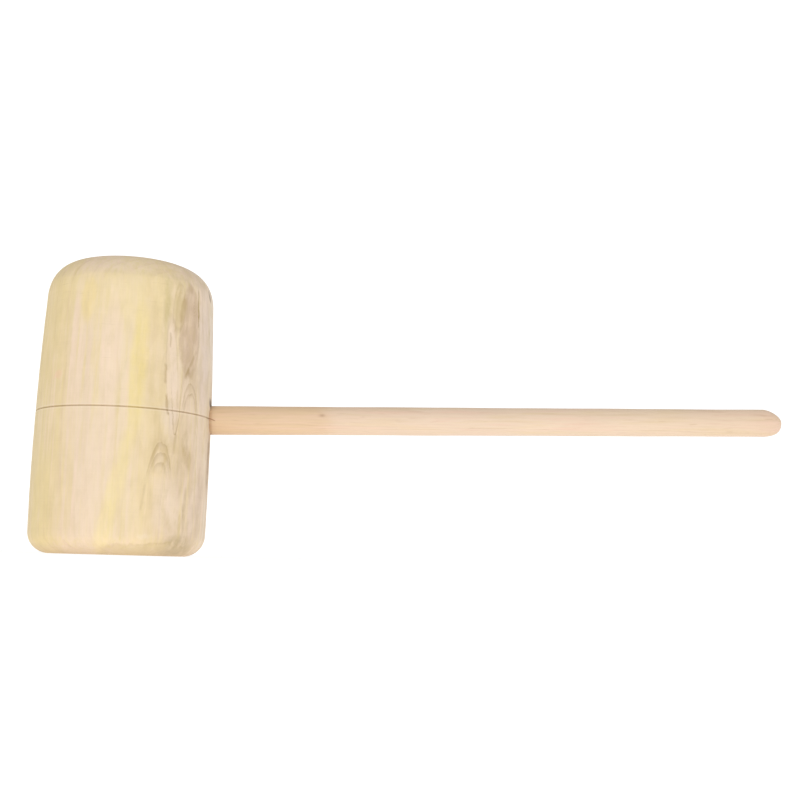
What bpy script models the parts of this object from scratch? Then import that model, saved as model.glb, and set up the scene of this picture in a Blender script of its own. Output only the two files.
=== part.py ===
"""Wooden mallet: a turned log head on a long dowel handle, wedged in a through eye.

Metres, +Z up. The mallet stands on its flat striking face. The origin is that face's centre, the
head's axis is +Z, and the handle leaves the head towards +X, rising a little on its way.
"""

from math import cos, pi, radians, sin, tan

import bmesh
import bpy
from mathutils import Matrix

# Head: a turned block, a little barrelled, with its grain along its axis
HEAD_HEIGHT = 0.250
BASE_RADIUS = 0.0725  # of the side's curve where it would meet the striking face
MIDDLE_RADIUS = 0.0730  # at half the height
TOP_RADIUS = 0.0683  # of the side's curve where it would meet the top's level
RIM_ROUND = 0.018  # rounding between the striking face and the side
CROWN_RISE = 0.035  # height over which the side turns into the domed top
CROWN_WIDTH_POWER = 4.8  # a higher power keeps the top flat further out
CROWN_RISE_POWER = 2.08

# Score line cut round the head, which the eye is bored on where the handle leaves
MARK_HEIGHT = 0.1175
MARK_WIDTH = 0.0012
MARK_DEPTH = 0.0008

# Handle: a dowel through the head, rounded over at its free end
HANDLE_RADIUS = 0.0125
HANDLE_REACH = 0.587  # from the head's axis to the free end, along the handle
HANDLE_RISE = radians(2.0)  # the angle of the handle above square to the head
TIP_ROUND_LENGTH = 0.0145  # of the oval rounding, along the handle
TIP_ROUND_DEPTH = 0.0065  # of the oval rounding, across the handle

# Fixing at the far side of the head, from the face inwards
FLARE_SPREAD = 0.002  # how far the eye opens out above and below the handle
FLARE_LENGTH = 0.040
WEDGE_LENGTH = 0.038
WEDGE_HEAD_THICKNESS = 0.006
WEDGE_TIP_THICKNESS = 0.001
KERF_PAST_WEDGE = 0.012  # saw cut left empty beyond the wedge's tip

# Clearances
EYE_CLEARANCE = 0.0003  # between the handle and the eye, all round
WEDGE_CLEARANCE = 0.0003  # between the wedge and each side of its kerf

# Fineness
HEAD_SEGMENTS = 96
HANDLE_SEGMENTS = 64
CROWN_STEPS = 14
SIDE_STEPS = 5  # above the score line, and as many below it
RIM_STEPS = 6
TIP_STEPS = 6

# Cutters run on past what they cut
OVERRUN = 0.006
FLARE_LEAD = 0.010  # of the flare's cone, inwards from where it leaves the bore


def side_radius(height):
    """The head's radius at a height: a parabola through the base, middle and top radii."""
    t = height / HEAD_HEIGHT
    base = BASE_RADIUS * (1 - t) * (1 - 2 * t)
    middle = MIDDLE_RADIUS * 4 * t * (1 - t)
    top = TOP_RADIUS * t * (2 * t - 1)
    return base + middle + top


# Where the handle's line crosses the head's axis, and how far along it the far face is
EYE_HEIGHT = MARK_HEIGHT - side_radius(MARK_HEIGHT) * tan(HANDLE_RISE)
FAR_FACE = side_radius(EYE_HEIGHT) / cos(HANDLE_RISE)


def spaced(first, last, steps):
    """Evenly spaced values from first to last, both included."""
    return [first + (last - first) * step / steps for step in range(steps + 1)]


def head_profile(with_mark):
    """(radius, height) points from the middle of the top, down the side, to the face's centre."""
    crown_start = HEAD_HEIGHT - CROWN_RISE
    shoulder = side_radius(crown_start)
    points = []
    for turn in spaced(0, pi / 2, CROWN_STEPS):
        width = sin(turn)
        rise = (1 - width**CROWN_WIDTH_POWER) ** (1 / CROWN_RISE_POWER)
        points.append((shoulder * width, crown_start + CROWN_RISE * rise))

    mark_top = MARK_HEIGHT + MARK_WIDTH / 2
    mark_bottom = MARK_HEIGHT - MARK_WIDTH / 2
    for height in spaced(crown_start, mark_top, SIDE_STEPS)[1:]:
        points.append((side_radius(height), height))
    if with_mark:
        points.append((side_radius(MARK_HEIGHT) - MARK_DEPTH, MARK_HEIGHT))
    for height in spaced(mark_bottom, RIM_ROUND, SIDE_STEPS):
        points.append((side_radius(height), height))

    rim_centre = side_radius(RIM_ROUND) - RIM_ROUND
    for turn in spaced(0, pi / 2, RIM_STEPS)[1:]:
        points.append((rim_centre + RIM_ROUND * cos(turn), RIM_ROUND * (1 - sin(turn))))
    points.append((0, 0))
    return points


def handle_profile():
    """(radius, reach) points from the free end, over its rounding, to past the far face."""
    points = [(0, HANDLE_REACH)]
    for turn in spaced(pi / 2, 0, TIP_STEPS):
        radius = HANDLE_RADIUS - TIP_ROUND_DEPTH * (1 - cos(turn))
        reach = HANDLE_REACH - TIP_ROUND_LENGTH * (1 - sin(turn))
        points.append((radius, reach))
    far_end = -FAR_FACE - OVERRUN
    return points + [(HANDLE_RADIUS, far_end), (0, far_end)]


def wedge_outline(clearance):
    """(along, up) corners of the wedge, which grows thicker outwards, to past the far face."""
    slope = (WEDGE_HEAD_THICKNESS - WEDGE_TIP_THICKNESS) / 2 / WEDGE_LENGTH
    outer = WEDGE_HEAD_THICKNESS / 2 + slope * OVERRUN + clearance
    inner = WEDGE_TIP_THICKNESS / 2 + clearance
    outer_end = -FAR_FACE - OVERRUN
    inner_end = -FAR_FACE + WEDGE_LENGTH
    return [(outer_end, -outer), (inner_end, -inner), (inner_end, inner), (outer_end, outer)]


def kerf_outline():
    """(along, up) corners of the kerf: the wedge with its clearance, then a plain saw cut."""
    lower_outer, lower_inner, upper_inner, upper_outer = wedge_outline(WEDGE_CLEARANCE)
    kerf_end = -FAR_FACE + WEDGE_LENGTH + KERF_PAST_WEDGE
    cut = [(kerf_end, lower_inner[1]), (kerf_end, upper_inner[1])]
    return [lower_outer, lower_inner, *cut, upper_inner, upper_outer]


def clear_scene():
    """Removes every object and collection that the scene starts with."""
    for obj in list(bpy.data.objects):
        bpy.data.objects.remove(obj)
    for collection in list(bpy.data.collections):
        bpy.data.collections.remove(collection)


def new_collection(name):
    collection = bpy.data.collections.new(name)
    bpy.context.scene.collection.children.link(collection)
    return collection


def material(name, color, roughness):
    """A Principled material of one colour, given as linear RGB."""
    made = bpy.data.materials.new(name)
    made.use_nodes = True
    shader = made.node_tree.nodes["Principled BSDF"]
    shader.inputs["Base Color"].default_value = (*color, 1)
    shader.inputs["Roughness"].default_value = roughness
    shader.inputs["Metallic"].default_value = 0
    return made


def add_object(name, data, collection, parent=None, turn=(0, 0, 0)):
    """Links a new object. Everything that follows the handle's line has that empty as parent."""
    obj = bpy.data.objects.new(name, data)
    obj.parent = parent
    obj.rotation_euler = turn
    collection.objects.link(obj)
    return obj


def as_cutter(obj):
    obj.hide_render = True
    obj.display_type = "WIRE"
    return obj


def turned(name, profile, segments, collection, parent=None, turn=(0, 0, 0)):
    """A profile of (radius, height) points, turned round its own Z axis by a Screw modifier."""
    mesh = bpy.data.meshes.new(name)
    points = [(radius, 0, height) for radius, height in profile]
    edges = [(point, point + 1) for point in range(len(points) - 1)]
    mesh.from_pydata(points, edges, [])
    obj = add_object(name, mesh, collection, parent, turn)
    screw = obj.modifiers.new("turn", "SCREW")
    screw.axis = "Z"
    screw.angle = 2 * pi
    screw.steps = segments
    screw.render_steps = segments
    screw.use_merge_vertices = True
    screw.merge_threshold = 0.00001
    return obj


def cone(name, lower_radius, upper_radius, ends, narrowing, collection, parent, turn):
    """A cone between two heights on its own Z axis, narrowed along its Y axis."""
    low, high = ends
    place = Matrix.Translation((0, 0, (low + high) / 2))
    mesh = bpy.data.meshes.new(name)
    shape = bmesh.new()
    bmesh.ops.create_cone(
        shape,
        cap_ends=True,
        segments=HANDLE_SEGMENTS,
        radius1=lower_radius,
        radius2=upper_radius,
        depth=high - low,
        matrix=place @ Matrix.Diagonal((1, narrowing, 1, 1)),
    )
    shape.to_mesh(mesh)
    shape.free()
    return add_object(name, mesh, collection, parent, turn)


def flat_outline(name, corners, half_width, collection, parent, turn):
    """A flat outline extruded to both sides, as a mesh: a filled 2D curve, with its caps welded."""
    curve = bpy.data.curves.new(name, "CURVE")
    curve.dimensions = "2D"
    curve.fill_mode = "BOTH"
    curve.extrude = half_width
    spline = curve.splines.new("POLY")
    spline.points.add(len(corners) - 1)
    for point, (along, up) in zip(spline.points, corners):
        point.co = (along, up, 0, 1)
    spline.use_cyclic_u = True
    guide = add_object(name + "_outline", curve, collection)
    bpy.context.view_layer.update()
    graph = bpy.context.evaluated_depsgraph_get()
    mesh = bpy.data.meshes.new_from_object(guide.evaluated_get(graph))
    bpy.data.objects.remove(guide)
    mesh.name = name
    shape = bmesh.new()
    shape.from_mesh(mesh)
    bmesh.ops.remove_doubles(shape, verts=shape.verts, dist=0.00001)
    bmesh.ops.recalc_face_normals(shape, faces=shape.faces)
    shape.to_mesh(mesh)
    shape.free()
    return add_object(name, mesh, collection, parent, turn)


def combine(obj, operation, other):
    modifier = obj.modifiers.new(other.name, "BOOLEAN")
    modifier.operation = operation
    modifier.solver = "EXACT"
    modifier.object = other


def flare(name, clearance, collection, line, along_line):
    """The flare's cone: taller than the bore at the far face, and inside it beyond the flare."""
    bore = HANDLE_RADIUS + clearance
    growth = FLARE_SPREAD / FLARE_LENGTH
    outer = bore + FLARE_SPREAD + growth * OVERRUN
    inner = bore - growth * FLARE_LEAD
    ends = (-FAR_FACE - OVERRUN, -FAR_FACE + FLARE_LENGTH + FLARE_LEAD)
    obj = cone(name, outer, inner, ends, bore / outer, collection, line, along_line)
    return as_cutter(obj)


def eye_shape(name, clearance, collection, line, along_line):
    """The space of the eye: a bore through the whole head, flared at the far face."""
    bore = HANDLE_RADIUS + clearance
    ends = (-FAR_FACE - 2 * OVERRUN, FAR_FACE + 2 * OVERRUN)
    obj = cone(name, bore, bore, ends, 1, collection, line, along_line)
    combine(obj, "UNION", flare(name + "_flare", clearance, collection, line, along_line))
    return as_cutter(obj)


def far_side_trim(collection):
    """A block over the far side of the eye, hollowed by the head: it trims what ends there flush."""
    blank = as_cutter(turned("head_blank", head_profile(False), HEAD_SEGMENTS, collection))
    span = 4 * (HANDLE_RADIUS + FLARE_SPREAD)
    place = Matrix.Translation((-FAR_FACE, 0, EYE_HEIGHT))
    mesh = bpy.data.meshes.new("far_side_trim")
    shape = bmesh.new()
    bmesh.ops.create_cube(shape, size=1, matrix=place @ Matrix.Diagonal((FAR_FACE, span, span, 1)))
    shape.to_mesh(mesh)
    shape.free()
    trim = add_object("far_side_trim", mesh, collection)
    combine(trim, "DIFFERENCE", blank)
    return as_cutter(trim)


def finish(obj, finish_material):
    """Applies the modifiers, shades the round faces smooth and gives the piece its material."""
    bpy.context.view_layer.update()
    graph = bpy.context.evaluated_depsgraph_get()
    mesh = bpy.data.meshes.new_from_object(obj.evaluated_get(graph))
    mesh.name = obj.name
    mesh.shade_smooth()
    mesh.set_sharp_from_angle(angle=radians(30))
    mesh.materials.clear()
    mesh.materials.append(finish_material)
    obj.modifiers.clear()
    obj.data = mesh


def main():
    clear_scene()
    mallet = new_collection("wooden_mallet")
    cutters = new_collection("cutters")

    # The handle's line: its own +X runs along the handle, from the head's axis to the free end
    line = add_object("handle_line", None, mallet, turn=(0, -HANDLE_RISE, 0))
    line.location = (0, 0, EYE_HEIGHT)
    along_line = (0, pi / 2, 0)
    upright = (pi / 2, 0, 0)

    head = turned("mallet_head", head_profile(True), HEAD_SEGMENTS, mallet)
    combine(head, "DIFFERENCE", eye_shape("eye", EYE_CLEARANCE, cutters, line, along_line))

    trim = far_side_trim(cutters)
    half_width = HANDLE_RADIUS + OVERRUN
    kerf = as_cutter(flat_outline("kerf", kerf_outline(), half_width, cutters, line, upright))
    handle = turned("handle", handle_profile(), HANDLE_SEGMENTS, mallet, line, along_line)
    combine(handle, "UNION", flare("tenon_flare", 0, cutters, line, along_line))
    combine(handle, "DIFFERENCE", kerf)
    combine(handle, "DIFFERENCE", trim)

    wedge = flat_outline("eye_wedge", wedge_outline(0), half_width, mallet, line, upright)
    combine(wedge, "INTERSECT", eye_shape("tenon_space", 0, cutters, line, along_line))
    combine(wedge, "DIFFERENCE", trim)

    finish(head, material("head_wood", (0.84, 0.68, 0.44), 0.55))
    finish(handle, material("handle_wood", (0.84, 0.62, 0.42), 0.50))
    finish(wedge, material("wedge_wood", (0.33, 0.17, 0.08), 0.50))


main()
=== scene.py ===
"""Looks of a wooden mallet: a turned log head on a long dowel handle, wedged in a through eye.

Metres, +Z up. The mallet stands on its striking face, whose centre is the origin. The head's axis is
+Z, and the handle leaves the head towards +X, rising a little. The head and the handle are surfaces
worked out with numpy, the wedge is the frame's own, and each finish is a solid pattern on object
coordinates, so that the grain runs through the wood as it does in a log.
"""

import logging
from dataclasses import dataclass
from enum import Enum
from math import cos, pi, radians, sin, tan
from typing import Mapping, Sequence, Union

import bmesh
import bpy
import numpy as np
from mathutils import Matrix, Vector


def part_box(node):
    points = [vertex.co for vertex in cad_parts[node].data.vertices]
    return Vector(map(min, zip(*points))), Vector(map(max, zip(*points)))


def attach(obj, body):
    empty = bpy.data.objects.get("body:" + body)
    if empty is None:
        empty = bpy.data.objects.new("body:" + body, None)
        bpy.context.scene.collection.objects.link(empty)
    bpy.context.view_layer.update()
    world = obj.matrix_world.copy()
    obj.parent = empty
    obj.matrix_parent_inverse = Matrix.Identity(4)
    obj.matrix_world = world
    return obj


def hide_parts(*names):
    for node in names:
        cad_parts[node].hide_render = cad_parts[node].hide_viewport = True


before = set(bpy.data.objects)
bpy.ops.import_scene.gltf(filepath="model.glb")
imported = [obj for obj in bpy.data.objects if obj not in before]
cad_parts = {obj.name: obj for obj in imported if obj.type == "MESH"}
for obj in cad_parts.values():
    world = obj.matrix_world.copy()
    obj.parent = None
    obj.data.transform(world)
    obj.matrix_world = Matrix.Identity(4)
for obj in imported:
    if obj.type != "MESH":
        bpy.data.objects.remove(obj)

MILLIMETRES = 1000.0  # patterns are worked out in millimetres
DEGREE_ROUND = 1.27  # millimetres round the head's side, for each degree
NO_SHIFT = (0.0, 0.0, 0.0)

Array = np.ndarray
Color = tuple[int, int, int]  # as displayed, each part from 0 to 255
Material = bpy.types.Material
Node = bpy.types.Node
Piece = bpy.types.Object
Socket = bpy.types.NodeSocket

log = logging.getLogger("mallet")


def tone(color: Color) -> tuple[float, float, float]:
    """Turns a display colour into the linear colour that a shader takes."""
    shares = (part / 255 for part in color)
    return tuple(c / 12.92 if c <= 0.04045 else ((c + 0.055) / 1.055) ** 2.4 for c in shares)


# ---- Shader arithmetic ----


@dataclass(frozen=True)
class Value:
    """A number worked out by shader nodes, so that a pattern can be written as a formula."""

    graph: "Graph"
    socket: Socket

    def __add__(self, other: "Term") -> "Value":
        """Sum."""
        return self.graph.math("ADD", self, other)

    def __radd__(self, other: "Term") -> "Value":
        """Sum, the other way round."""
        return self.graph.math("ADD", other, self)

    def __sub__(self, other: "Term") -> "Value":
        """Difference."""
        return self.graph.math("SUBTRACT", self, other)

    def __rsub__(self, other: "Term") -> "Value":
        """Difference, the other way round."""
        return self.graph.math("SUBTRACT", other, self)

    def __mul__(self, other: "Term") -> "Value":
        """Product."""
        return self.graph.math("MULTIPLY", self, other)

    def __rmul__(self, other: "Term") -> "Value":
        """Product, the other way round."""
        return self.graph.math("MULTIPLY", other, self)

    def __truediv__(self, other: "Term") -> "Value":
        """Quotient."""
        return self.graph.math("DIVIDE", self, other)

    def __rtruediv__(self, other: "Term") -> "Value":
        """Quotient, the other way round."""
        return self.graph.math("DIVIDE", other, self)

    def __pow__(self, other: "Term") -> "Value":
        """Power."""
        return self.graph.math("POWER", self, other)

    def __neg__(self) -> "Value":
        """The same amount below zero."""
        return self.graph.math("MULTIPLY", self, -1.0)

    def __abs__(self) -> "Value":
        """Size without sign."""
        return self.graph.math("ABSOLUTE", self)

    def square(self) -> "Value":
        """The value times itself."""
        return self.graph.math("MULTIPLY", self, self)

    def root(self) -> "Value":
        """Square root."""
        return self.graph.math("SQRT", self)

    def fall(self) -> "Value":
        """Bell curve: 1 at 0, about 0.37 at 1 and almost nothing past 2."""
        return self.graph.math("EXPONENT", -self.square())

    def above(self, low: "Term", high: "Term") -> "Value":
        """Rises smoothly from 0 to 1.

        Args:
            low: Where the rise starts.
            high: Where it ends.

        Returns:
            The rise at this value.
        """
        settings = {"interpolation_type": "SMOOTHSTEP"}
        inputs = {0: self, 1: low, 2: high, 3: 0.0, 4: 1.0}
        return Value(self.graph, self.graph.node("ShaderNodeMapRange", settings, inputs).outputs[0])

    def below(self, low: "Term", high: "Term") -> "Value":
        """Falls smoothly from 1 at low to 0 at high."""
        return 1.0 - self.above(low, high)

    def cut(self) -> "Value":
        """Kept within 0 and 1."""
        return self.graph.math("MINIMUM", self.graph.math("MAXIMUM", self, 0.0), 1.0)

    def fraction(self) -> "Value":
        """What is over the whole number below."""
        return self.graph.math("FRACT", self)


Term = Union[Value, float, int]
Terms = Sequence[Term]
Input = Union[Value, Socket, float, int, tuple]


class Graph:
    """A tree of shader nodes, and the ways to add to it."""

    def __init__(self, tree: bpy.types.NodeTree) -> None:
        """Takes over a tree and empties it."""
        self.tree = tree
        self.tree.nodes.clear()

    def node(
        self,
        kind: str,
        settings: Mapping[str, object] | None = None,
        inputs: Mapping[Union[int, str], Input] | None = None,
    ) -> Node:
        """Adds a node.

        Args:
            kind: The node's type.
            settings: Values of its own settings.
            inputs: What goes into its sockets, by name or number: a number, a colour or a socket.

        Returns:
            The node.
        """
        made = self.tree.nodes.new(kind)
        for name, setting in (settings or {}).items():
            setattr(made, name, setting)
        self.connect(made, inputs or {})
        return made

    def connect(self, node: Node, inputs: Mapping[Union[int, str], Input]) -> None:
        """Links or sets a node's sockets, by name or number."""
        for name, given in inputs.items():
            self.feed(node.inputs[name], given)

    def feed(self, socket: Socket, given: Input) -> None:
        """Links a socket or sets its constant.

        Args:
            socket: The socket that takes it.
            given: A value or socket to link, or a number or colour to set.
        """
        if isinstance(given, Value):
            self.tree.links.new(given.socket, socket)
        elif isinstance(given, Socket):
            self.tree.links.new(given, socket)
        elif isinstance(given, tuple) and socket.type == "RGBA":
            socket.default_value = (*given, 1.0)
        else:
            socket.default_value = given

    def math(self, operation: str, *terms: Term) -> Value:
        """One Math node."""
        made = self.node("ShaderNodeMath", {"operation": operation}, dict(enumerate(terms)))
        return Value(self, made.outputs[0])

    def noise(self, place: Terms, detail: float, rough: float = 0.5) -> Value:
        """Makes cloudy noise with patches of about 1.

        Args:
            place: Where in the noise to read, as x, y and z.
            detail: How many finer layers it has.
            rough: How strong the finer layers are.

        Returns:
            The noise, mostly between -1 and 1, around 0.
        """
        vector = self.node("ShaderNodeCombineXYZ", inputs=dict(enumerate(place))).outputs[0]
        inputs = {"Vector": vector, "Scale": 1.0, "Detail": detail, "Roughness": rough}
        made = self.node("ShaderNodeTexNoise", {"noise_dimensions": "3D"}, inputs)
        return (Value(self, made.outputs[0]) - 0.5) * 2.0

    def yearly(self, steps: Value, spread: float, least: float) -> Value:
        """Makes a number that differs from year to year.

        Args:
            steps: Distance across the growth rings, in years.
            spread: How far the number varies.
            least: Its lowest value.

        Returns:
            The number, the same all through each year.
        """
        settings = {"noise_dimensions": "1D"}
        made = self.node("ShaderNodeTexWhiteNoise", settings, {"W": self.math("FLOOR", steps)})
        return Value(self, made.outputs[0]) * spread + least

    def stops(self, place: Term, colors: Sequence[tuple[float, Color]]) -> Socket:
        """Colour that runs through stops.

        Args:
            place: Where to read the run of colours.
            colors: (place, colour) pairs, in order. The first and last also bound the place.

        Returns:
            The colour.
        """
        low, high = colors[0][0], colors[-1][0]
        share = (place - low) / (high - low)
        made = self.node("ShaderNodeValToRGB", inputs={0: share})
        made.color_ramp.interpolation = "EASE"
        marks = made.color_ramp.elements
        for at, _ in colors[1:-1]:
            marks.new((at - low) / (high - low))
        for mark, (_, color) in zip(marks, colors):
            mark.color = (*tone(color), 1.0)
        return made.outputs[0]


class Surface(Graph):
    """One material's shader nodes."""

    def __init__(self, name: str) -> None:
        """Starts a new material, with a Principled shader on its output.

        Args:
            name: The material's name.
        """
        self.material = bpy.data.materials.new(name)
        self.material.use_nodes = True
        super().__init__(self.material.node_tree)
        self.color: Input = (1.0, 1.0, 1.0)
        self.shader = self.node("ShaderNodeBsdfPrincipled")
        self.node("ShaderNodeOutputMaterial", inputs={"Surface": self.shader.outputs["BSDF"]})

    def object_place(self) -> tuple[Value, Value, Value]:
        """Reads the point's own place.

        Returns:
            Its x, y and z, in millimetres.
        """
        source = self.node("ShaderNodeTexCoord").outputs["Object"]
        parts = self.node("ShaderNodeSeparateXYZ", inputs={0: source}).outputs
        return tuple(Value(self, part) * MILLIMETRES for part in parts)

    def lay(self, share: Term, color: Color) -> None:
        """Covers the colour so far with a share of another.

        Args:
            share: How much of the other shows, from 0 to 1.
            color: The other colour.
        """
        settings = {"data_type": "RGBA", "blend_type": "MIX", "clamp_factor": True}
        inputs = {0: share, 6: self.color, 7: tone(color)}
        self.color = self.node("ShaderNodeMix", settings, inputs).outputs[2]

    def brighten(self, amount: Term) -> None:
        """Multiplies the colour so far."""
        inputs = {0: self.color, 3: amount}
        self.color = self.node("ShaderNodeVectorMath", {"operation": "SCALE"}, inputs).outputs[0]

    def finish(self, rough: Term, height: Value, depth: float, polish: float) -> Material:
        """Connects the shader.

        Args:
            rough: Roughness.
            height: Height of the surface's fine relief, about -1 to 1.
            depth: How deep a relief of 1 is, in metres.
            polish: Strength of the shader's reflection, where 0.5 is usual.

        Returns:
            The material.
        """
        relief = {"Height": height, "Distance": depth, "Strength": 1.0}
        bump = self.node("ShaderNodeBump", inputs=relief).outputs[0]
        looks = {"Base Color": self.color, "Roughness": rough, "Normal": bump, "Specular IOR Level": polish}
        self.connect(self.shader, looks)
        return self.material


# ---- Wood patterns ----


@dataclass(frozen=True)
class Grain:
    """The point being shaded, measured along and across the wood's fibres, in millimetres."""

    graph: Graph
    parts: tuple[Value, Value, Value]
    fibre: int  # which of the three parts runs along the fibres

    def cloud(
        self, width: float, length: float, detail: float, rough: float = 0.5, shift: Terms = NO_SHIFT
    ) -> Value:
        """Makes cloudy noise whose patches have one size across the fibres and another along them.

        Args:
            width: The patches' size across the fibres.
            length: Their size along the fibres.
            detail: How many finer layers it has.
            rough: How strong the finer layers are.
            shift: Where in the noise to start, so that two clouds differ.

        Returns:
            The noise, mostly between -1 and 1, around 0.
        """
        sizes = (length if axis == self.fibre else width for axis in range(3))
        place = [part / size for part, size in zip(self.parts, sizes)]
        moved = [part if move == 0 else part + move for part, move in zip(place, shift)]
        return self.graph.noise(moved, detail, rough)


@dataclass(frozen=True)
class Spot:
    """The place on the head's side that is being shaded."""

    turn: Value  # degrees round from the front, towards the handle
    height: Value  # millimetres


@dataclass(frozen=True)
class Stain:
    """A soft oval patch of another tone. Turns are degrees from the front, heights millimetres."""

    turn: float
    height: float
    half_turn: float
    half_height: float
    color: Color
    strength: float
    edge: float = 0.5  # how far its edge spreads, as a share of its size
    lean: float = 0.0  # degrees round, for each millimetre up
    rim: float = 0.0  # strength of the brown line along its edge

    def out(self, spot: Spot) -> Value:
        """Measures from the stain's middle.

        Args:
            spot: The place being shaded.

        Returns:
            The distance, which is 1 on the stain's edge.
        """
        up = spot.height - self.height
        across = (spot.turn - self.turn - up * self.lean) / self.half_turn
        return (across.square() + (up / self.half_height).square()).root()

    def share(self, out: Value) -> Value:
        """How much of the stain shows at a distance from its middle."""
        return out.below(1.0 - self.edge, 1.0 + self.edge) * self.strength


@dataclass(frozen=True)
class Flame:
    """Nested arches of grain, where rings are cut at a slant."""

    turn: float
    apex: float
    reach: float  # how far the outer arch's legs run from its apex; below zero, it hangs upside down
    half_turn: float  # half its width at the end of its legs
    rings: int
    spacing: float  # between apexes
    strength: float
    width: float = 1.6  # of each line, which is sharp on the outside and fades inwards
    power: float = 2.6  # above 2, the arches are rounder and their legs straighter

    def lines(self, spot: Spot) -> Value:
        """Draws the arches.

        The level is the distance inside the outer arch, measured along its axis. A line starts at
        each whole number of spacings. Distances are divided by the level's slope, so that the
        lines keep their width along the legs.

        Args:
            spot: The place being shaded.

        Returns:
            How much of a line shows there.
        """
        way = 1.0 if self.reach > 0 else -1.0
        reach = abs(self.reach)
        across = spot.turn - self.turn
        inside = (self.apex - spot.height) * way
        bend = reach / self.half_turn**self.power
        level = inside - abs(across) ** self.power * bend
        slope = abs(across) ** (self.power - 1) * (bend * self.power / DEGREE_ROUND)
        slope = (slope.square() + 1.0).root()
        steps = level / self.spacing + 0.1
        off = steps.fraction() * self.spacing / slope
        within = steps.above(0.0, 0.02) * steps.below(self.rings - 0.02, self.rings)
        fade = inside.below(reach * 0.5, reach * 1.2)
        return off.above(0.0, 0.5) * off.below(0.4, self.width * 2) * within * fade * self.strength


@dataclass(frozen=True)
class Knot:
    """Grain that runs round a small knot as ovals, with a dark heart."""

    turn: float
    height: float
    half_turn: float
    half_height: float
    strength: float
    heart: float  # strength of its dark middle

    def lines(self, spot: Spot) -> Value:
        """Draws two ovals, at half the knot's size and at its full size, and the heart.

        Args:
            spot: The place being shaded.

        Returns:
            How much of a line, or of the heart, shows there.
        """
        across = (spot.turn - self.turn) / self.half_turn
        out = (across.square() + ((spot.height - self.height) / self.half_height).square()).root()
        off = abs(out * 2.0 - out.graph.math("ROUND", out * 2.0))
        rings = off.below(0.06, 0.30) * out.below(0.85, 1.35) * out.above(0.2, 0.4)
        return rings * self.strength + (out / 0.16).fall() * self.heart


@dataclass(frozen=True)
class Vein:
    """One dark line that runs from a lower to an upper place, fading at its ends."""

    turn: float
    height: float
    top_turn: float
    top_height: float
    strength: float
    width: float = 0.45  # half its width, in millimetres

    def lines(self, spot: Spot) -> Value:
        """Draws the line.

        Args:
            spot: The place being shaded.

        Returns:
            How much of the line shows there.
        """
        share = (spot.height - self.height) / (self.top_height - self.height)
        centre = share * (self.top_turn - self.turn) + self.turn
        off = abs(spot.turn - centre) * DEGREE_ROUND
        ends = share.above(-0.08, 0.12) * share.below(0.88, 1.08)
        return off.below(self.width * 0.4, self.width * 1.8) * ends * self.strength


class Wood(Enum):
    """Colours that the finishes share, before light falls on them. Some of them also paint shade."""

    LATE_RING = (176, 132, 88)
    # also painted shade where the handle enters the head
    BARK_STREAK_AND_SHADE = (150, 104, 62)
    # dirt and painted shade in the score line's groove
    SCORE_DIRT_AND_SHADE = (136, 110, 70)
    PALE = (246, 229, 204)
    ROSE = (240, 214, 193)
    STRAW = (234, 213, 154)
    FIGURE = (178, 150, 104)
    OLIVE = (214, 193, 148)
    # painted shade along the foot
    FOOT_SHADE = (212, 193, 168)
    CREAM = (242, 222, 196)


@dataclass(frozen=True)
class HeadPoint:
    """The point of the head that is being shaded, with the measures that its patterns share."""

    graph: Surface
    grain: Grain
    lathe: Grain  # the same, with its height less its radius, for marks that run round the head
    turn: Value  # degrees round from the front, towards the handle
    height: Value
    spot: Spot  # the place, moved a little by noise, so that edges wander
    drift: Value  # slow noise
    streak: Value  # noise in thin streaks along the fibres
    side: Value  # 1 on the side and 0 on the ends
    end: Value  # 1 where fibres are cut across: over the crown, and under the foot's rim


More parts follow.
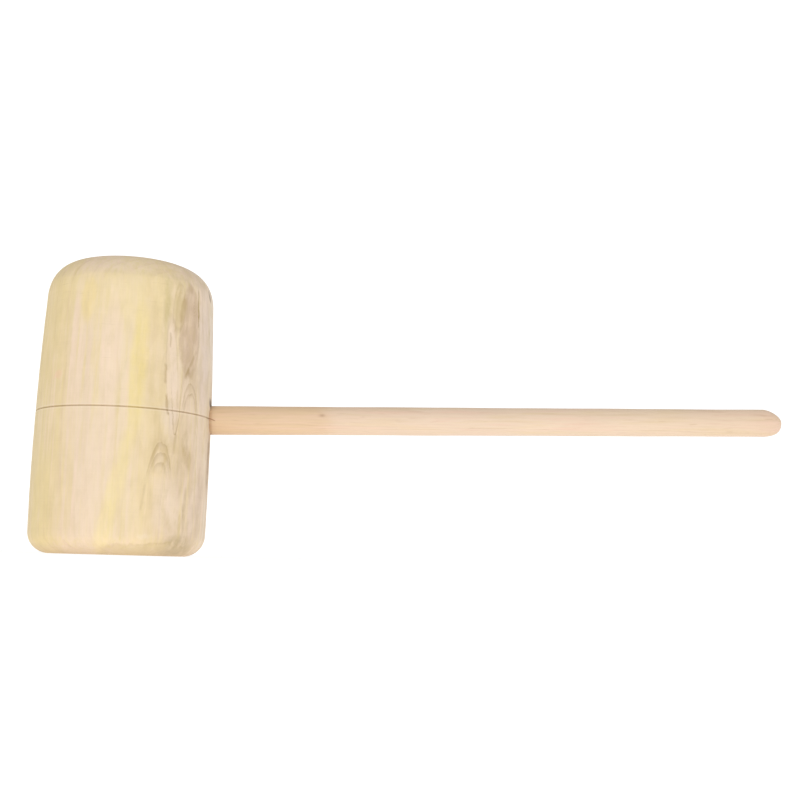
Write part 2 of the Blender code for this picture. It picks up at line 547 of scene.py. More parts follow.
@dataclass(frozen=True)
class HeadWood:
    """The head's wood: pale sapwood turned off-centre, so that its far side from the pith shows arches."""

    front: float = -82.0  # the azimuth, in degrees, from which places round the head are counted
    pith_azimuth: float = 135.0
    pith_distance: float = 88.0  # from the head's axis, in millimetres, like the sizes that follow
    ring_spacing: float = 6.5
    mark_height: float = 117.5
    crown_edge: float = 226.0
    foot_height: float = 11.0
    brightness: float = 1.045
    roughness: float = 0.62
    polish: float = 0.3
    relief_depth: float = 0.00012  # metres
    tones: tuple[tuple[float, Color], ...] = (
        (-180, (226, 206, 168)),
        (-68, (229, 209, 165)),
        (-44, (230, 208, 165)),
        (-37, (234, 211, 180)),
        (-26, (234, 212, 182)),
        (-12, (237, 216, 184)),
        (6, (237, 216, 180)),
        (20, (234, 212, 172)),
        (32, (233, 211, 178)),
        # from here to 72 the tones are lifted, partly as painted light, where the key light falls off
        # towards the handle
        (44, (230, 208, 180)),
        (58, (234, 214, 190)),
        (72, (240, 221, 196)),
        (90, (226, 205, 172)),
        (180, (226, 206, 168)),
    )
    stains: tuple[Stain, ...] = (
        Stain(-8, 222, 42, 36, (235, 215, 163), 0.6),
        Stain(17, 150, 9, 110, (239, 217, 170), 0.5),
        Stain(-66, 195, 22, 70, (228, 206, 153), 0.6, 0.3),
        Stain(-58, 34, 13, 50, (231, 210, 155), 0.6, 0.25),
        Stain(-29, 205, 5, 17, (236, 213, 154), 0.7, 0.3),
        Stain(-37, 178, 2.6, 32, (239, 214, 190), 0.7, 0.3),
        Stain(-11, 160, 6, 46, (240, 216, 191), 0.6, 0.3),
        Stain(-17, 60, 10, 66, (239, 216, 191), 0.55, 0.3, 0.07),
        Stain(6.5, 150, 5.6, 50, (240, 219, 148), 0.66, 0.4, 0.02),
        Stain(-3.5, 50, 5.2, 66, (242, 222, 162), 0.6, 0.4, 0.165),
        Stain(60, 172, 9, 52, (234, 215, 200), 0.75, 0.4),
        Stain(34, 168, 4, 14, (240, 220, 190), 0.5),
        Stain(43, 186, 8.8, 37, (211, 185, 158), 0.92, 0.2, 0.0, 0.3),
        Stain(24, 198, 2.6, 36, (208, 190, 138), 0.65, 0.6),
        Stain(33, 204, 4.6, 20, (210, 188, 140), 0.65, 0.5, 0.03, 0.2),
        Stain(29.5, 145, 4.4, 50, (240, 218, 196), 0.85, 0.25, -0.04, 0.2),
        Stain(20, 128, 6.5, 46, (224, 202, 156), 0.5),
        Stain(14, 40, 6, 40, (238, 217, 170), 0.4),
        Stain(30, 42, 8.5, 24, (240, 219, 196), 0.6, 0.55, 0.06),
        Stain(35, 24, 5, 10, (240, 219, 196), 0.5, 0.4, -0.1),
        Stain(33, 80, 16, 13, (212, 188, 146), 0.5, 0.6),
        Stain(47, 147, 8, 12, (212, 190, 160), 0.55, 0.7),
        Stain(62, 54, 5, 20, (210, 187, 166), 0.55, 0.7),
        Stain(24, 84, 7, 12, (216, 192, 146), 0.5, 0.5),
        Stain(22.5, 76, 3.0, 8, (240, 219, 192), 0.6, 0.3),
        Stain(42, 91, 2.6, 10, (192, 166, 120), 0.7),
        Stain(46, 78, 2.2, 8, (196, 170, 130), 0.6),
        Stain(38, 100, 8, 20, (222, 200, 160), 0.4),
        Stain(44.5, 36, 1.3, 17, (190, 168, 120), 0.55),
        Stain(52, 30, 4, 20, (228, 206, 186), 0.5),
        Stain(25, 1, 34, 9, (220, 199, 150), 0.65, 0.3, 0.0, 0.2),
        Stain(43, 8, 13, 8.5, (190, 171, 136), 0.75, 0.5),
        # painted highlight: a small pale arc just above the foot's rounded rim
        Stain(17, 17, 4, 2.2, (248, 232, 212), 0.35, 0.6),
        Stain(37, 208, 2.2, 6, (190, 162, 116), 0.5, 0.7, 0.06),
        Stain(34.5, 196, 1.8, 5, (196, 168, 124), 0.5, 0.7),
        Stain(42.5, 151, 1.6, 4, (176, 146, 112), 0.5, 0.7, 0.08),
        Stain(28, 113, 6, 11, (241, 222, 204), 0.45, 0.5),
        Stain(22, 158, 5, 30, (238, 216, 184), 0.35),
        Stain(77, 198, 8, 42, (242, 231, 218), 0.6, 0.5),
        Stain(75, 34, 5, 22, (240, 225, 212), 0.45, 0.5),
        Stain(75.5, 82, 4.5, 22, (140, 106, 72), 0.75, 0.8),
        Stain(70, 224, 2.4, 5, (122, 94, 66), 0.75),
        # painted shadow: a dark patch in the gap above the handle, at the eye's mouth
        Stain(76.5, 131, 5, 3.6, (84, 54, 38), 0.9, 0.6),
        Stain(-49, 143, 3.2, 3.5, (238, 196, 168), 0.5),
    )
    flames: tuple[Flame, ...] = (
        Flame(33, 98, -62, 5.0, 1, 9, 0.55, 2.0),
        Flame(24, 90, 25, 8.8, 3, 8.0, 0.52, 3.2),
        Flame(45, 142, 34, 9.0, 2, 9, 0.44, 2.6),
    )
    knots: tuple[Knot, ...] = (Knot(46, 205, 2.6, 6, 0.3, 0.45),)
    veins: tuple[Vein, ...] = (
        Vein(51, 190, 51, 224, 0.9),
        Vein(40, 147, 49, 170, 0.55, 1.3),
        Vein(27.0, 112, 25.5, 130, 0.6, 1.1),
        Vein(25.0, 140, 24.4, 156, 0.5, 1.1),
        Vein(27.6, 171, 27.2, 183, 0.5, 0.9),
        Vein(32.2, 80, 34.2, 99, 0.32, 1.0),
        Vein(13.5, 36, 15, 58, 0.22, 1.0),
    )

    def point(self) -> HeadPoint:
        """Starts the material and measures the point being shaded.

        Returns:
            The point.
        """
        graph = Surface("head_wood_finish")
        x, y, z = graph.object_place()
        radius = (x.square() + y.square()).root()
        ahead, beside = cos(radians(-self.front)), sin(radians(-self.front))
        turn = graph.math("ARCTAN2", x * beside + y * ahead, x * ahead - y * beside) * (180 / pi)
        grain = Grain(graph, (x, y, z), 2)
        drift = grain.cloud(26, 80, 2.0)
        ripple = grain.cloud(5, 12, 3.0, 0.6, (9, 0, 0))
        spot = Spot(turn + drift * 2.0 + ripple * 1.3, z + drift * 4.0 + ripple * 4.0)
        side = radius.above(54, 64) * z.below(self.crown_edge - 2, self.crown_edge + 8)
        over = (z + drift * 4).above(self.crown_edge - 1, self.crown_edge + 3)
        end = (over + (z - drift * 3).below(1.0, 12.0) * 0.8).cut()
        streak = grain.cloud(2.6, 95, 3.0, 0.6, (0, 0, 5))
        lathe = Grain(graph, (x, y, z - radius), 2)
        return HeadPoint(graph, grain, lathe, turn, z, spot, drift, streak, side, end)

    def build(self) -> Material:
        """Builds the material: the wood's own colours first, then what the tools did to it, dirt and
        painted shade in the score line, and painted shade along the foot.

        Returns:
            The material.
        """
        point = self.point()
        graph, grain, end = point.graph, point.grain, point.end
        lines = self.figured(point, self.ground(point))
        late = self.rings(grain)
        patchy = grain.cloud(8, 45, 2.0).above(-0.5, 0.6)
        self.rubbed(point)
        graph.lay(late * (patchy * 0.14 + end * 0.06), Wood.LATE_RING.value)
        self.blotched(point)

        fibre = grain.cloud(0.9, 34, 3.0, 0.6)
        cloud = grain.cloud(11, 26, 4.0, 0.6, (0, 0, 5))
        tooling = point.lathe.cloud(40, 1.1, 1.0)
        # painted shade: the band along the foot is greyed and darkened, as the turned-down rim in shade
        foot = point.height.below(0.0, self.foot_height)
        graph.lay(foot * 0.45, Wood.FOOT_SHADE.value)
        brightness = self.brightness + fibre * 0.03 + point.streak * 0.03 + cloud * 0.06 + tooling * 0.02
        graph.brighten(brightness - end * 0.05 - foot * 0.06)
        self.scored(point)

        relief = fibre * 0.5 + late * 0.2 + tooling * 0.15 - lines * 0.8
        rough = self.roughness + fibre * 0.06 + end * 0.1
        return graph.finish(rough, relief, self.relief_depth, self.polish)

    def ground(self, point: HeadPoint) -> Term:
        """Lays the run of tones round the side, streaks along the fibres, and then each stain.

        Args:
            point: The point being shaded.

        Returns:
            How much of a stain's rim shows.
        """
        graph, streak = point.graph, point.streak
        graph.color = graph.stops(point.turn + point.drift * 3.0, self.tones)
        graph.lay((streak * 2.6).cut() * 0.55, Wood.ROSE.value)
        graph.lay((streak * -2.6).cut() * 0.55, Wood.STRAW.value)
        mottle = point.grain.cloud(4, 11, 3.0, 0.6, (2, 0, 0)) * 0.6 + 0.9
        rims = 0.0
        for stain in self.stains:
            out = stain.out(point.spot)
            graph.lay(stain.share(out) * point.side * mottle, stain.color)
            if stain.rim:
                rims = abs(out - 1.0).below(0.02, 0.16) * stain.rim + rims
        return rims

    def figured(self, point: HeadPoint, rims: Term) -> Value:
        """Draws the grain's lines, then contours of slow noise as a soft figure, and short flecks.

        Args:
            point: The point being shaded.
            rims: How much of a stain's rim shows.

        Returns:
            How much of a line or rim shows.
        """
        graph, grain, side = point.graph, point.grain, point.side
        marks = (*self.flames, *self.knots, *self.veins)
        lines = sum((mark.lines(point.spot) for mark in marks), start=rims) * side
        worn = grain.cloud(4, 18, 1.0, shift=(0, 0, 3)) * 0.35 + 0.85
        graph.lay((lines * worn).cut(), Wood.FIGURE.value)
        contour = (grain.cloud(20, 90, 2.0, 0.45, (3, 0, 0)) * 2.6 + 9.0).fraction()
        figure = contour.above(0.4, 0.9) * contour.below(0.92, 1.0) * worn * 0.18
        fleck = grain.cloud(2.2, 7, 2.0).above(0.42, 0.75) * 0.35
        strength = point.turn.above(8, 40) * 0.75 + 0.25
        graph.lay((figure + fleck) * strength * side, Wood.FIGURE.value)
        return lines.cut()

    def rings(self, grain: Grain) -> Value:
        """Draws growth rings about a wandering pith: each darkens slowly outwards, then ends sharply.

        Args:
            grain: The point being shaded.

        Returns:
            How dark the ring is.
        """
        x, y, z = grain.parts
        away = radians(self.pith_azimuth)
        bend = grain.cloud(60, 110, 2.0)
        px = x - self.pith_distance * cos(away) + bend * 4
        py = y - self.pith_distance * sin(away)
        out = (px.square() + py.square()).root() + z * 0.035 + bend * 5
        steps = out / self.ring_spacing
        share = steps.fraction()
        return share.above(0.45, 0.93) * share.below(0.95, 1.0) * grain.graph.yearly(steps, 0.8, 0.35)

    def rubbed(self, point: HeadPoint) -> None:
        """Draws the tool's fine rings, in patches on the upper part of the front.

        Args:
            point: The point being shaded.
        """
        rubs = point.lathe.cloud(20, 1.5, 1.0).above(0.2, 0.6)
        patches = point.grain.cloud(14, 16, 2.0, shift=(4, 0, 0)).above(0.0, 0.5)
        patches = patches * point.height.above(118, 150) * point.turn.below(20, 40)
        point.graph.lay(rubs * patches * 0.28 * point.side, Wood.FIGURE.value)

    def blotched(self, point: HeadPoint) -> None:
        """Lays darker and paler blotches, stronger towards the handle.

        Args:
            point: The point being shaded.
        """
        blotch = point.grain.cloud(7, 17, 4.0, 0.65, (11, 0, 0))
        strength = point.turn.above(5, 35) * 0.35 + 0.35
        point.graph.lay((blotch * 1.5).cut() * strength, Wood.OLIVE.value)
        point.graph.lay((blotch * -1.5).cut() * strength, Wood.CREAM.value)

    def scored(self, point: HeadPoint) -> None:
        """Draws the score line: a broken brown line, partly dirt and partly painted shade in the groove,
        with a pale edge above and below it.

        Args:
            point: The point being shaded.
        """
        off = abs(point.height - self.mark_height)
        broken = point.grain.cloud(5, 3, 2.0) * 0.25 + 0.8
        # the brown line: dirt and painted shade in the groove
        point.graph.lay(off.below(0.2, 0.9) * broken * 0.40, Wood.SCORE_DIRT_AND_SHADE.value)
        point.graph.lay(off.above(0.8, 1.1) * off.below(1.2, 2.2) * 0.35, Wood.PALE.value)


@dataclass(frozen=True)
class DowelWood:
    """The handle's wood: straight, fine grain along its own line, warmer where it meets the head,
    with painted shade just outside the head.
    """

    line_height: float  # millimetres, like the sizes that follow
    rise: float  # radians
    tones: tuple[tuple[float, Color], ...] = (
        (-80, (226, 194, 156)),
        (70, (232, 200, 164)),
        (150, (234, 203, 168)),
        (164, (235, 204, 170)),
        (184, (239, 213, 186)),
        (280, (240, 215, 190)),
        (430, (241, 216, 189)),
        (550, (240, 214, 186)),
        (590, (239, 208, 182)),
    )
    blush: Color = (242, 208, 184)
    straw: Color = (232, 206, 162)
    knot_along: float = 169.0
    knot_up: float = 3.4
    pith: tuple[float, float] = (34.0, -52.0)  # where the rings' middle runs, beside and above
    ring_spacing: float = 2.6
    roughness: float = 0.55
    polish: float = 0.35
    relief_depth: float = 0.00010  # metres

    def build(self) -> Material:
        """Builds the material.

        The rings are circles about a pith beside the handle, and bend a little round the knot. A
        knot's heart and its pull are bell curves in the distances along and up from its middle.

        Returns:
            The material.
        """
        graph = Surface("handle_wood_finish")
        x, y, z = graph.object_place()
        above = z - self.line_height
        along = x * cos(self.rise) + above * sin(self.rise)
        up = above * cos(self.rise) - x * sin(self.rise)
        grain = Grain(graph, (along, y, up), 0)

        sway = grain.cloud(18, 90, 3.0)
        past, over = along - self.knot_along, up - self.knot_up
        pull = (past / 16).fall() * (over / 9).fall() * 1.5
        pith_side, pith_up = self.pith
        out = ((y - pith_side).square() + (up - pith_up).square()).root()
        steps = (out + sway * 3.0 + along * 0.012 + pull) / self.ring_spacing
        share = steps.fraction()
        late = share.above(0.35, 0.9) * share.below(0.93, 1.0) * graph.yearly(steps, 0.9, 0.2)

        patchy = grain.cloud(3, 26, 2.0, shift=(0, 0, 7)).above(-0.5, 0.7)
        tint = grain.cloud(4, 62, 3.0, 0.55, (3, 0, 0))
        graph.color = graph.stops(along + sway * 22, self.tones)
        graph.lay((tint * 2.4).cut() * 0.75, self.blush)
        graph.lay((tint * -2.2).cut() * 0.5, self.straw)
        graph.lay(late * patchy * 0.28, Wood.LATE_RING.value)

        heart = (past / 2.6).fall() * (over / 1.4).fall() * y.below(-8, -2)
        graph.lay(heart * 0.38, Wood.BARK_STREAK_AND_SHADE.value)
        root = along.below(73, 80) * 0.25 + along.below(73.5, 75.5) * 0.35  # painted shade beside the head, where the handle enters it
        graph.lay(root * (tint * 0.6 + 0.8).cut(), Wood.BARK_STREAK_AND_SHADE.value)
        dash = grain.cloud(1.6, 16, 2.0, shift=(5, 0, sway)).above(0.22, 0.7)
        graph.lay(dash * 0.28, Wood.LATE_RING.value)
        slant = abs(up + (along - 73.0) * 0.4)  # a short dark slanted dash beside the head
        tick = along.below(76.5, 78.0) * slant.below(0.1, 0.7) * y.below(-6, -3)
        graph.lay(tick * 0.8, Wood.BARK_STREAK_AND_SHADE.value)

        fibre = grain.cloud(0.7, 30, 3.0, 0.6)
        cloud = grain.cloud(9, 55, 3.0)
        cut_end = along.below(-70, -64)
        graph.brighten(1.0 + fibre * 0.045 + cloud * 0.04 - cut_end * 0.15)
        relief = fibre * 0.6 + late * 0.3 - heart
        return graph.finish(self.roughness + fibre * 0.07, relief, self.relief_depth, self.polish)


@dataclass(frozen=True)
class WedgeWood:
    """The wedge's dense brown wood, with its fibres along the handle's line."""

    base: Color = (158, 112, 74)
    dark: Color = (104, 66, 40)
    roughness: float = 0.55
    polish: float = 0.35
    relief_depth: float = 0.00008  # metres

    def build(self) -> Material:
        """Builds the material: dark where bands and pores, two noises along the fibres, are strong.

        Returns:
            The material.
        """
        graph = Surface("wedge_wood_finish")
        x, y, z = graph.object_place()
        pores = Grain(graph, (x, y, z), 0).cloud(0.5, 12, 3.0, 0.6)
        bands = graph.noise((x / 40, y / 2.4, z / 1.2), 2.0)
        graph.color = tone(self.base)
        graph.lay((bands * 0.5 + pores * 0.4 + 0.4).cut(), self.dark)
        return graph.finish(self.roughness + pores * 0.08, pores, self.relief_depth, self.polish)


# ---- Shapes ----


def grid_object(name: str, grid: Array, sharp: float = 30.0) -> Piece:
    """Makes a closed object from rings of points: each row a closed ring, each end row a single place.

    Args:
        name: The piece's name.
        grid: Points, shaped (rings, points round, 3). The first and last rings are poles.
        sharp: The angle between faces, in degrees, past which an edge stays sharp.

    Returns:
        The object, linked to the scene.
    """
    rings, around = grid.shape[:2]
    points = np.concatenate([grid[0, :1], grid[1:-1].reshape(-1, 3), grid[-1, :1]])
    index = np.arange((rings - 2) * around).reshape(rings - 2, around) + 1
    after = np.roll(index, -1, axis=1)
    quads = np.stack([index[:-1], after[:-1], after[1:], index[1:]], axis=-1).reshape(-1, 4)
    last = np.full(around, len(points) - 1)
    start = np.stack([0 * last, after[0], index[0]], axis=-1)
    end = np.stack([last, index[-1], after[-1]], axis=-1)
    mesh = bpy.data.meshes.new(name)
    mesh.from_pydata(points.tolist(), [], quads.tolist() + start.tolist() + end.tolist())
    shape = bmesh.new()
    shape.from_mesh(mesh)
    bmesh.ops.recalc_face_normals(shape, faces=shape.faces)
    shape.to_mesh(mesh)
    shape.free()
    obj = bpy.data.objects.new(name, mesh)
    bpy.context.scene.collection.objects.link(obj)
    shade(obj, sharp)
    return obj


def shade(obj: Piece, sharp: float) -> None:
    """Shades an object smooth, with edges past the angle sharp, in degrees, kept sharp."""
    obj.data.shade_smooth()
    obj.data.set_sharp_from_angle(angle=radians(sharp))


def clothe(obj: Piece, material: Material) -> None:
    """Gives an object one material."""
    obj.data.materials.clear()
    obj.data.materials.append(material)


def cut_away(obj: Piece, cutter: Piece, sharp: float = 30.0) -> None:
    """Cuts one object out of another, for good, and removes the cutter.

    Args:
        obj: What is cut.
        cutter: The space to take out of it.
        sharp: The angle between faces, in degrees, past which an edge stays sharp.
    """
    modifier = obj.modifiers.new("cut", "BOOLEAN")
    modifier.operation = "DIFFERENCE"
    modifier.solver = "EXACT"
    modifier.object = cutter
    bpy.context.view_layer.update()
    graph = bpy.context.evaluated_depsgraph_get()
    mesh = bpy.data.meshes.new_from_object(obj.evaluated_get(graph))
    obj.modifiers.clear()
    obj.data = mesh
    mesh.name = obj.name
    bpy.data.objects.remove(cutter)
    shade(obj, sharp)


def angles(count: int) -> Array:
    """Even steps of the angle round a ring, in radians, as one row."""
    return np.linspace(0, 2 * pi, count, endpoint=False)[None, :]


def spaced(first: float, *stops: tuple[float, int]) -> Array:
    """Makes values that run from one stop to the next in even steps.

    Args:
        first: The first value.
        stops: (value, steps) pairs, each value reached in that many steps.

    Returns:
        The values.
    """
    values = [np.array([first])]
    for value, steps in stops:
        values.append(np.linspace(values[-1][-1], value, steps + 1)[1:])
    return np.concatenate(values)


@dataclass(frozen=True)
class HandleLine:
    """The straight line that the handle and its eye follow, and places given along it."""

    height: float  # where it crosses the head's axis
    rise: float  # its angle above square to the head

    def place(self, along: Array, side: Array, up: Array) -> Array:
        """Finds points beside the line.

        Args:
            along: Distances along the line from the head's axis.
            side: Distances beside it, towards +Y.
            up: Distances square above it.

        Returns:
            The points, in a last axis of three.
        """
        x = along * cos(self.rise) - up * sin(self.rise)
        z = self.height + along * sin(self.rise) + up * cos(self.rise)
        return np.stack(np.broadcast_arrays(x, side, z), axis=-1)


@dataclass(frozen=True)
class HeadForm:
    """The turned form of the head: its radius at each height, and the score line's groove."""

    height: float
    base_radius: float = 0.0725
    middle_radius: float = 0.0730
    top_radius: float = 0.0683
    rim_round: float = 0.018
    crown_rise: float = 0.035
    crown_width_power: float = 4.8
    crown_rise_power: float = 2.08
    mark_height: float = 0.1175
    mark_width: float = 0.0012
    mark_depth: float = 0.0008
    crown_rings: int = 56
    side_rings: int = 60  # above the score line, and as many below it
    mark_rings: int = 16
    rim_rings: int = 20
    face_rings: int = 24

    def side(self, z: Array) -> Array:
        """Works out the side's radius: a parabola in the height, through the base, middle and top radii.

        Args:
            z: Heights above the face.

        Returns:
            The radii.
        """
        t = z / self.height
        base = self.base_radius * (1 - t) * (1 - 2 * t)
        return base + self.middle_radius * 4 * t * (1 - t) + self.top_radius * t * (2 * t - 1)

    def groove(self, z: Array) -> Array:
        """Depth of the score line: a V, deepest at the mark's height."""
        off = np.abs(z - self.mark_height) / (self.mark_width / 2)
        return self.mark_depth * np.clip(1 - off, 0, None)

    def unevenness(self, turn: Array, z: Array) -> Array:
        """Adds hand turning and drying: a slight oval and long shallow waves, under a quarter millimetre.

        Args:
            turn: Angles round the head, in radians.
            z: Heights above the face.

        Returns:
            What the radius gains there.
        """
        oval = 0.00010 * np.cos(2 * turn + 0.7)
        waves = 0.00005 * np.sin(5 * turn + 60 * z) + 0.00006 * np.sin(3 * turn - 35 * z + 1.3)
        return oval + waves + 0.00003 * np.sin(2 * pi * z / 0.021)

    def outline(self) -> tuple[Array, Array]:
        """Draws the outline from the middle of the crown, down the side, to the face's centre.

        The crown is (r / a)^p + (z / b)^q = 1. The rim is a quarter circle.

        Returns:
            The radii and the heights.
        """
        start = self.height - self.crown_rise
        width = np.sin(np.linspace(0, pi / 2, self.crown_rings))
        rise = (1 - width**self.crown_width_power) ** (1 / self.crown_rise_power)
        crown_radius, crown_height = self.side(np.float64(start)) * width, start + self.crown_rise * rise

        half = self.mark_width / 2
        high, low = self.mark_height + 2 * half, self.mark_height - 2 * half
        down = (high, self.side_rings), (low, self.mark_rings), (self.rim_round, self.side_rings)
        heights = spaced(start, *down)[1:]

        centre = self.side(np.float64(self.rim_round)) - self.rim_round
        turn = np.linspace(0, pi / 2, self.rim_rings)[1:]
        rim_radius = centre + self.rim_round * np.cos(turn)
        rim_height = self.rim_round * (1 - np.sin(turn))
        face = np.linspace(centre, 0, self.face_rings)[1:]
        radius = np.concatenate([crown_radius, self.side(heights) - self.groove(heights), rim_radius, face])
        return radius, np.concatenate([crown_height, heights, rim_height, 0 * face])


@dataclass
class TurnedHead:
    """The head: the turned form with the eye cut through it."""

    form: HeadForm
    line: HandleLine
    finish: HeadWood
    bore: float = 0.0128
    flare: float = 0.002
    flare_length: float = 0.040
    columns: int = 320
    eye_columns: int = 96
    past: float = 0.012  # how far the eye's space runs past the head

    def build(self) -> Piece:
        """Builds the head as rings of points about +Z, then cuts the eye.

        Its unevenness fades towards the axis with the square of the radius.

        Returns:
            The head.
        """
        radius, height = self.form.outline()
        turn = angles(self.columns)
        radius, height = radius[:, None], height[:, None]
        share = np.clip(radius / self.form.middle_radius, 0, 1) ** 2
        out = radius + self.form.unevenness(turn, height) * share
        grid = np.stack(np.broadcast_arrays(out * np.cos(turn), out * np.sin(turn), height), axis=-1)
        head = grid_object("turned_head", grid)
        cut_away(head, self.eye())
        return head

    def eye(self) -> Piece:
        """Builds the eye's space: a round bore that opens out upwards and downwards at the far face.

        The opening grows evenly along its length, and the space runs on past both faces.

        Returns:
            The space.
        """
        far = -self.form.middle_radius
        along = spaced(far - self.past, (far + self.flare_length, 6), (-far + self.past, 2))
        along = np.concatenate([along[:1], along, along[-1:]])[:, None]
        turn = angles(self.eye_columns)
        size = np.ones_like(along)
        size[0] = size[-1] = 0
        spread = self.flare * np.clip(1 - (along - far) / self.flare_length, 0, None)
        side = self.bore * np.cos(turn) * size
        up = (self.bore + spread) * np.sin(turn) * size
        return grid_object("eye", self.line.place(along, side, up))

    def dress(self, obj: Piece) -> None:
        """Gives the head its wood."""
        clothe(obj, self.finish.build())


@dataclass
class DowelHandle:
    """The handle: a dowel through the head, rounded at its free end, split for the wedge at the other."""

    form: HeadForm
    line: HandleLine
    finish: DowelWood
    radius: float = 0.0125
    reach: float = 0.587
    tip_round_length: float = 0.0145
    tip_round_depth: float = 0.0065
    tip_upper_depth: float = 0.0088  # the tip is worn further down on its upper side
    flare: float = 0.002
    flare_length: float = 0.040
    kerf_length: float = 0.050
    wedge_length: float = 0.038
    wedge_head: float = 0.006
    wedge_tip: float = 0.001
    clearance: float = 0.0003
    shaved: float = 0.00005  # what shaving takes off the dowel outside the head
    past: float = 0.006  # how far the kerf's space runs past the dowel's end and sides
    around: int = 112
    flare_rings: int = 14
    shaft_rings: int = 200
    tip_rings: int = 16

    def unevenness(self, along: Array, turn: Array) -> Array:
        """Adds waves from shaving by hand: under a fifth of a millimetre, and none within the head.

        Args:
            along: Distances along the line.
            turn: Angles round it, in radians.

        Returns:
            What the radius gains there.
        """
        clear = np.clip((along - 0.09) / 0.05, 0, 1)
        oval = 0.00007 * np.sin(38 * along + 1.1) * np.cos(2 * turn)
        twist = 0.00005 * np.sin(95 * along + 3 * turn)
        return (oval + twist - self.shaved) * clear

    def end_along(self, side: Array, up: Array) -> Array:
        """Finds where the handle's end lies flush with the head's far side, by closing in on it.

        Args:
            side: Distances beside the line.
            up: Distances square above it.

        Returns:
            Distances along the line.
        """
        along = np.full(np.broadcast(side, up).shape, -self.form.middle_radius)
        for _ in range(8):
            height = self.line.place(along, side, up)[..., 2]
            x = -np.sqrt(self.form.side(height) ** 2 - side**2)
            along = (x + up * sin(self.line.rise)) / cos(self.line.rise)
        return along

    def build(self) -> Piece:
        """Builds the dowel as rings along its line, then cuts the kerf.

        Returns:
            The handle.
        """
        rings = (self.flush_end(), self.tenon(), self.shaft(), self.tip())
        handle = grid_object("dowel_handle", np.concatenate(rings))
        cut_away(handle, self.kerf())
        return handle

    def flush_end(self) -> Array:
        """Draws the end that lies flush with the head's side.

        Returns:
            Its rings, from a single place in its middle.
        """
        share = np.array([0.0, 0.25, 0.5, 0.75, 0.92])[:, None]
        side = share * self.radius * np.cos(angles(self.around))
        up = share * (self.radius + self.flare) * np.sin(angles(self.around))
        return self.line.place(self.end_along(side, up), side, up)

    def tenon(self) -> Array:
        """Draws the flare, which grows evenly from its inner end to the head's side.

        Returns:
            Its rings.
        """
        turn, far = angles(self.around), -self.form.middle_radius
        side = self.radius * np.cos(turn)
        rim = self.end_along(side, (self.radius + self.flare) * np.sin(turn))
        along = rim + (far + self.flare_length - rim) * spaced(0.0, (1.0, self.flare_rings))[:, None]
        grown = self.flare * np.clip(1 - (along - far) / self.flare_length, 0, None)
        return self.line.place(along, side + 0 * along, (self.radius + grown) * np.sin(turn))

    def shaft(self) -> Array:
        """Draws the straight dowel, from the flare to where the tip's rounding starts.

        Returns:
            Its rings.
        """
        turn = angles(self.around)
        through = self.form.middle_radius + 0.004  # a little past the head's near side
        inner = self.flare_length - self.form.middle_radius
        outer = self.reach - self.tip_round_length
        along = spaced(inner, (through, 16), (outer, self.shaft_rings))[1:, None]
        size = self.radius + self.unevenness(along, turn)
        return self.line.place(along, size * np.cos(turn), size * np.sin(turn))

    def tip(self) -> Array:
        """Draws the free end: a part of an oval, worn deeper on its upper side, and a flat face.

        Returns:
            Its rings, the last a single place.
        """
        turn = angles(self.around)
        curve = np.linspace(0, pi / 2, self.tip_rings)[1:, None]
        upper = np.clip(np.sin(turn), 0, 1)
        depth = self.tip_round_depth + (self.tip_upper_depth - self.tip_round_depth) * upper
        power = 1 + 0.35 * upper  # above 1, the rounding is flatter than an oval
        size = self.radius - self.shaved - depth * (1 - np.cos(curve) ** power)
        along = self.reach - self.tip_round_length * (1 - np.sin(curve) ** power)
        face = np.linspace(1, 0, 6)[1:, None] * size[-1:]
        size = np.concatenate([size, face])
        along = np.concatenate([along, np.full_like(face, self.reach)])
        return self.line.place(along, size * np.cos(turn), size * np.sin(turn))

    def kerf(self) -> Piece:
        """Builds the kerf's space: the wedge with its clearance, then a plain saw cut.

        Returns:
            The space.
        """
        far, half_width = -self.form.middle_radius, self.radius + self.past
        slope = (self.wedge_head - self.wedge_tip) / 2 / self.wedge_length
        tip = self.wedge_tip / 2 + self.clearance
        outer = self.wedge_head / 2 + slope * self.past + self.clearance
        stations = ((far - self.past, outer), (far + self.wedge_length, tip), (far + self.kerf_length, tip))
        corners = np.array([[-1, -1], [1, -1], [1, 1], [-1, 1]], dtype=float)
        rings = [(along, corners[:, 0] * half_width, corners[:, 1] * half) for along, half in stations]
        rings = [(rings[0][0], 0 * rings[0][1], 0 * rings[0][2]), *rings]
        rings.append((rings[-1][0], 0 * rings[-1][1], 0 * rings[-1][2]))
        return grid_object("kerf", np.stack([self.line.place(*ring) for ring in rings]))

    def dress(self, obj: Piece) -> None:
        """Gives the handle its wood."""
        clothe(obj, self.finish.build())


@dataclass
class EyeWedge:
    """The wedge, whose shape is the frame's own."""

    finish: WedgeWood

    def build(self) -> Piece:
        """Takes the frame's wedge."""
        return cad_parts["eye_wedge"]

    def dress(self, obj: Piece) -> None:
        """Gives the wedge its wood."""
        clothe(obj, self.finish.build())


# ---- Room, light and camera ----


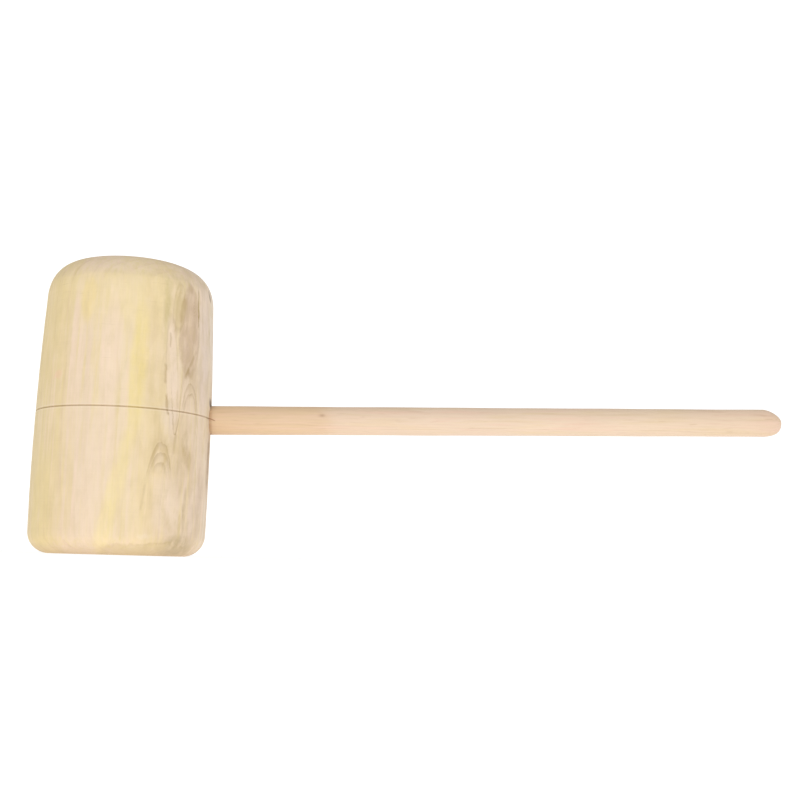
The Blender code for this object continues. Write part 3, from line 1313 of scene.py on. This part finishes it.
@dataclass
class Studio:
    """A white floor that runs into a white backdrop, with soft light from the front."""

    floor_size: float = 30.0
    floor_glow: float = 0.50
    floor_tone: float = 0.8
    floor_roughness: float = 0.9
    sky_low: float = 0.75  # light from the horizon
    sky_high: float = 0.56  # light from overhead
    backdrop: float = 1.15
    key_power: float = 13.8
    key_size: float = 1.6
    key_place: tuple[float, float, float] = (-0.10, -2.4, 0.25)
    key_target: tuple[float, float, float] = (0.1, 0.0, 0.12)

    def build(self) -> None:
        """Builds the floor, the light and the world."""
        self.floor()
        self.key()
        self.world()

    def floor(self) -> Piece:
        """Builds the floor: a square that glows a little, so that it stays white.

        Returns:
            The floor.
        """
        half = self.floor_size / 2
        corners = [(-half, -half, 0), (half, -half, 0), (half, half, 0), (-half, half, 0)]
        mesh = bpy.data.meshes.new("floor")
        mesh.from_pydata(corners, [], [(0, 1, 2, 3)])
        floor = bpy.data.objects.new("floor", mesh)
        bpy.context.scene.collection.objects.link(floor)
        surface = Surface("floor_white")
        looks = {
            "Base Color": (self.floor_tone, self.floor_tone, self.floor_tone),
            "Roughness": self.floor_roughness,
            "Specular IOR Level": 0.0,
            "Emission Color": (1.0, 1.0, 1.0),
            "Emission Strength": self.floor_glow,
        }
        surface.connect(surface.shader, looks)
        clothe(floor, surface.material)
        return floor

    def key(self) -> None:
        """Builds the large soft light in front."""
        data = bpy.data.lights.new("key", "AREA")
        data.shape = "DISK"
        data.size = self.key_size
        data.energy = self.key_power
        light = bpy.data.objects.new("key", data)
        light.location = self.key_place
        way = Vector(self.key_target) - Vector(self.key_place)
        light.rotation_euler = way.to_track_quat("-Z", "Y").to_euler()
        bpy.context.scene.collection.objects.link(light)

    def world(self) -> None:
        """Builds the backdrop: white to the camera, and softer as a light, least from overhead."""
        world = bpy.data.worlds.new("backdrop")
        bpy.context.scene.world = world
        world.use_nodes = True
        graph = Graph(world.node_tree)
        way = graph.node("ShaderNodeTexCoord").outputs["Generated"]
        up = graph.node("ShaderNodeSeparateXYZ", inputs={0: way}).outputs["Z"]
        run = {"From Min": 0.0, "From Max": 1.0, "To Min": self.sky_low, "To Max": self.sky_high}
        sky = graph.node("ShaderNodeMapRange", inputs={"Value": up, **run}).outputs["Result"]
        seen = graph.node("ShaderNodeLightPath").outputs["Is Camera Ray"]
        choice = graph.node("ShaderNodeMix", inputs={"Factor": seen, "A": sky, "B": self.backdrop})
        light = {"Color": (1.0, 1.0, 1.0), "Strength": choice.outputs["Result"]}
        background = graph.node("ShaderNodeBackground", inputs=light)
        graph.node("ShaderNodeOutputWorld", inputs={"Surface": background.outputs["Background"]})


@dataclass(frozen=True)
class Viewpoint:
    """The camera: low in front, a little towards the handle, looking slightly up."""

    distance: float = 0.9767
    side: float = radians(8.0)  # round from -Y, towards the handle
    height: float = 0.002
    heading: float = radians(5.993)  # from +Y, to the right
    pitch: float = radians(8.212)
    roll: float = radians(1.551)
    lens: float = 49.93

    def build(self) -> None:
        """Builds the camera and makes it the scene's."""
        data = bpy.data.cameras.new("camera")
        data.lens = self.lens
        data.sensor_width = 36.0
        data.clip_start = 0.001
        data.clip_end = 100.0
        ahead = Vector((
            sin(self.heading) * cos(self.pitch),
            cos(self.heading) * cos(self.pitch),
            sin(self.pitch),
        ))
        level = Vector((cos(self.heading), -sin(self.heading), 0.0))
        above = level.cross(ahead)
        right = level * cos(self.roll) + above * sin(self.roll)
        up = above * cos(self.roll) - level * sin(self.roll)
        place = Vector((sin(self.side) * self.distance, -cos(self.side) * self.distance, self.height))
        camera = bpy.data.objects.new("camera", data)
        turn = Matrix((right, up, -ahead)).transposed()
        camera.matrix_world = Matrix.Translation(place) @ turn.to_4x4()
        bpy.context.scene.collection.objects.link(camera)
        bpy.context.scene.camera = camera


def main() -> None:
    """Builds the mallet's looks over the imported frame, then the studio and the camera."""
    logging.basicConfig(level=logging.INFO, format="%(message)s")
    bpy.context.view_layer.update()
    lowest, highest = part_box("mallet_head")
    form = HeadForm(height=highest[2] - lowest[2])
    rise = radians(2.0)
    reach = float(form.side(np.float64(form.mark_height)))
    line = HandleLine(height=form.mark_height - reach * tan(rise), rise=rise)

    head = TurnedHead(form, line, HeadWood(mark_height=form.mark_height * MILLIMETRES))
    piece = head.build()
    head.dress(piece)
    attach(piece, "root")
    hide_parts("mallet_head")
    log.info("head: %d faces", len(piece.data.polygons))

    handle = DowelHandle(form, line, DowelWood(line.height * MILLIMETRES, rise))
    piece = handle.build()
    handle.dress(piece)
    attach(piece, "root")
    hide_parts("handle")
    log.info("handle: %d faces", len(piece.data.polygons))

    eye_wedge = EyeWedge(WedgeWood())
    wedge = eye_wedge.build()
    eye_wedge.dress(wedge)
    log.info("wedge: %d faces", len(wedge.data.polygons))

    Studio().build()
    Viewpoint().build()
    bpy.context.scene.view_settings.view_transform = "Standard"


if __name__ == "__main__":
    main()
